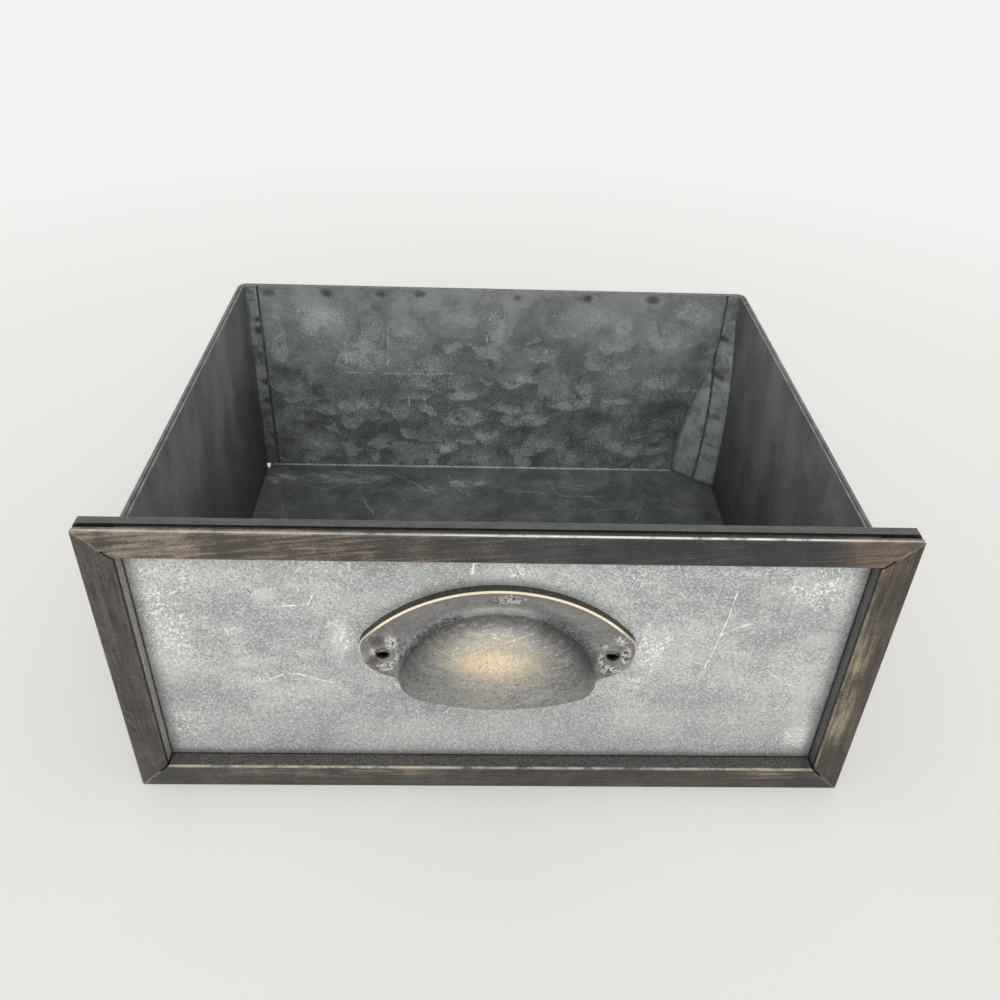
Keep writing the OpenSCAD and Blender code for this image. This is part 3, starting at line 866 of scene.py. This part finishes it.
def corner_dent():
    """A closed wedge: the buckled face in front, its hidden sides just inside the sheets behind it."""
    columns = 9
    sunk = 0.4
    bulge = 0.9
    full_reach = 10
    wall = WALL_X - SHEET + sunk
    built = bmesh.new()
    rows = []
    for z, left, reach in DENT_ROWS:
        row = []
        for i in range(columns):
            share = i / (columns - 1)
            x = left + (wall - left) * share
            swell = bulge * math.sin(math.pi * share) * min(1, reach / full_reach)
            y = BACK_Y + sunk - (reach + sunk) * share - swell
            row.append(built.verts.new((x * MM, y * MM, z * MM)))
        row.append(built.verts.new((wall * MM, (BACK_Y + sunk) * MM, z * MM)))
        rows.append(row)
    count = columns + 1
    for lower, upper in zip(rows, rows[1:]):
        for i in range(count):
            j = (i + 1) % count
            face = built.faces.new((lower[i], lower[j], upper[j], upper[i]))
            face.smooth = i < columns - 1
    built.faces.new(rows[0][::-1])
    built.faces.new(rows[-1])
    bmesh.ops.recalc_face_normals(built, faces=built.faces)
    mesh = bpy.data.meshes.new("corner_dent")
    built.to_mesh(mesh)
    built.free()
    dent = bpy.data.objects.new("corner_dent", mesh)
    bpy.context.collection.objects.link(dent)
    mesh.materials.append(dent_material())
    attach(dent, "root")


dress(zinc_material(), "front_panel")
for rail in RAILS:
    dress(trim_material(rail), rail.node)
dress(brass_material(), "cup_pull")
dress(front_wall_material(), "front_wall")
dress(sheet_material(), "floor_back_sheet")
dress(wall_material("left", LEFT_WELDS), "left_side_wall")
dress(wall_material("right", RIGHT_WELDS), "right_side_wall")
dress(rim_material(), "back_rim", "left_rim", "right_rim")
corner_dent()


# Floor, light and camera

def corners(x0, y0, x1, y1):
    """Corners of a rectangle on the floor, in turn."""
    return [(x0, y0, 0), (x1, y0, 0), (x1, y1, 0), (x0, y1, 0)]


def floor_stage():
    """Pale floor, open under the bin's foot and clear from below, so that the underside is lit and seen."""
    half = 60.0
    inset = 2 * MM
    left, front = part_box("left_side_wall")[0][:2]
    right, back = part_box("right_side_wall")[1][:2]
    outline = corners(-half, -half, half, half)
    opening = corners(left + inset, front + inset, right - inset, back - inset)
    sides = [(i, (i + 1) % 4, 4 + (i + 1) % 4, 4 + i) for i in range(4)]
    mesh = bpy.data.meshes.new("pale_floor")
    mesh.from_pydata(outline + opening, [], sides)
    floor = bpy.data.objects.new("pale_floor", mesh)
    bpy.context.collection.objects.link(floor)
    g = Graph("pale_floor", 0.0)
    g.shader.inputs["Specular IOR Level"].default_value = 0.0
    far = g.step(g.vector("LENGTH", g.point), 300, 900)
    color = g.mix(srgb(241, 240, 237), srgb(252, 251, 249), far)
    mesh.materials.append(g.finish(color, 0.9, g.noise(3, 3, 0.6), 0.02))
    from_below = g.node("ShaderNodeNewGeometry").outputs["Backfacing"]
    clear = g.node("ShaderNodeBsdfTransparent").outputs[0]
    either = g.node("ShaderNodeMixShader", {0: from_below, 1: g.shader.outputs[0], 2: clear})
    g.put(g.tree.nodes["Material Output"].inputs["Surface"], either.outputs[0])


def studio_light():
    """White light all round; where it is seen or mirrored, it has the floor's own level."""
    world = bpy.data.worlds.new("studio")
    bpy.context.scene.world = world
    world.use_nodes = True
    tree = world.node_tree
    light = tree.nodes["Background"]
    light.inputs["Color"].default_value = (1, 1, 1, 1)
    light.inputs["Strength"].default_value = 0.55
    seen = tree.nodes.new("ShaderNodeBackground")
    seen.inputs["Color"].default_value = srgb(243, 242, 240)
    path = tree.nodes.new("ShaderNodeLightPath")
    rays = path.outputs["Is Camera Ray"]
    for kind in ("Is Glossy Ray", "Is Transmission Ray"):
        either = tree.nodes.new("ShaderNodeMath")
        either.operation = "MAXIMUM"
        tree.links.new(rays, either.inputs[0])
        tree.links.new(path.outputs[kind], either.inputs[1])
        rays = either.outputs[0]
    choice = tree.nodes.new("ShaderNodeMixShader")
    for socket, source in zip(choice.inputs, (rays, light.outputs[0], seen.outputs[0])):
        tree.links.new(source, socket)
    tree.links.new(choice.outputs[0], tree.nodes["World Output"].inputs["Surface"])


def soft_sun(name, elevation, azimuth, spread, level):
    """Wide soft light from one direction; a white face square to it gains the given level."""
    light = bpy.data.lights.new(name, "SUN")
    light.angle = math.radians(spread)
    light.energy = math.pi * level
    lamp = bpy.data.objects.new(name, light)
    bpy.context.collection.objects.link(lamp)
    up, turn = math.radians(elevation), math.radians(azimuth)
    aim = Vector((-math.sin(turn) * math.cos(up), math.cos(turn) * math.cos(up), -math.sin(up)))
    lamp.matrix_world = aim.to_track_quat("-Z", "Y").to_matrix().to_4x4()


def camera():
    """Camera at the photograph's place, fitted to the object's corners in the photograph."""
    place = Vector((-11.1, -242.5 + FACE_Y, 317.9)) * MM
    pitch, yaw, roll = (math.radians(a) for a in (35.780, 2.239, -2.170))
    ahead = Vector((math.sin(yaw) * math.cos(pitch), math.cos(yaw) * math.cos(pitch), -math.sin(pitch)))
    level = Vector((math.cos(yaw), -math.sin(yaw), 0))
    down = ahead.cross(level)
    right = math.cos(roll) * level + math.sin(roll) * down
    up = math.sin(roll) * level - math.cos(roll) * down
    data = bpy.data.cameras.new("camera")
    data.sensor_width = 36
    data.lens = 0.9481 * data.sensor_width
    data.clip_start = 0.01
    eye = bpy.data.objects.new("camera", data)
    bpy.context.collection.objects.link(eye)
    turn = Matrix((right, up, -ahead)).transposed()
    eye.matrix_world = Matrix.Translation(place) @ turn.to_4x4()
    bpy.context.scene.camera = eye


floor_stage()
studio_light()
soft_sun("front_light", 40, 0, 55, 0.6)
camera()
bpy.context.scene.view_settings.view_transform = "Standard"
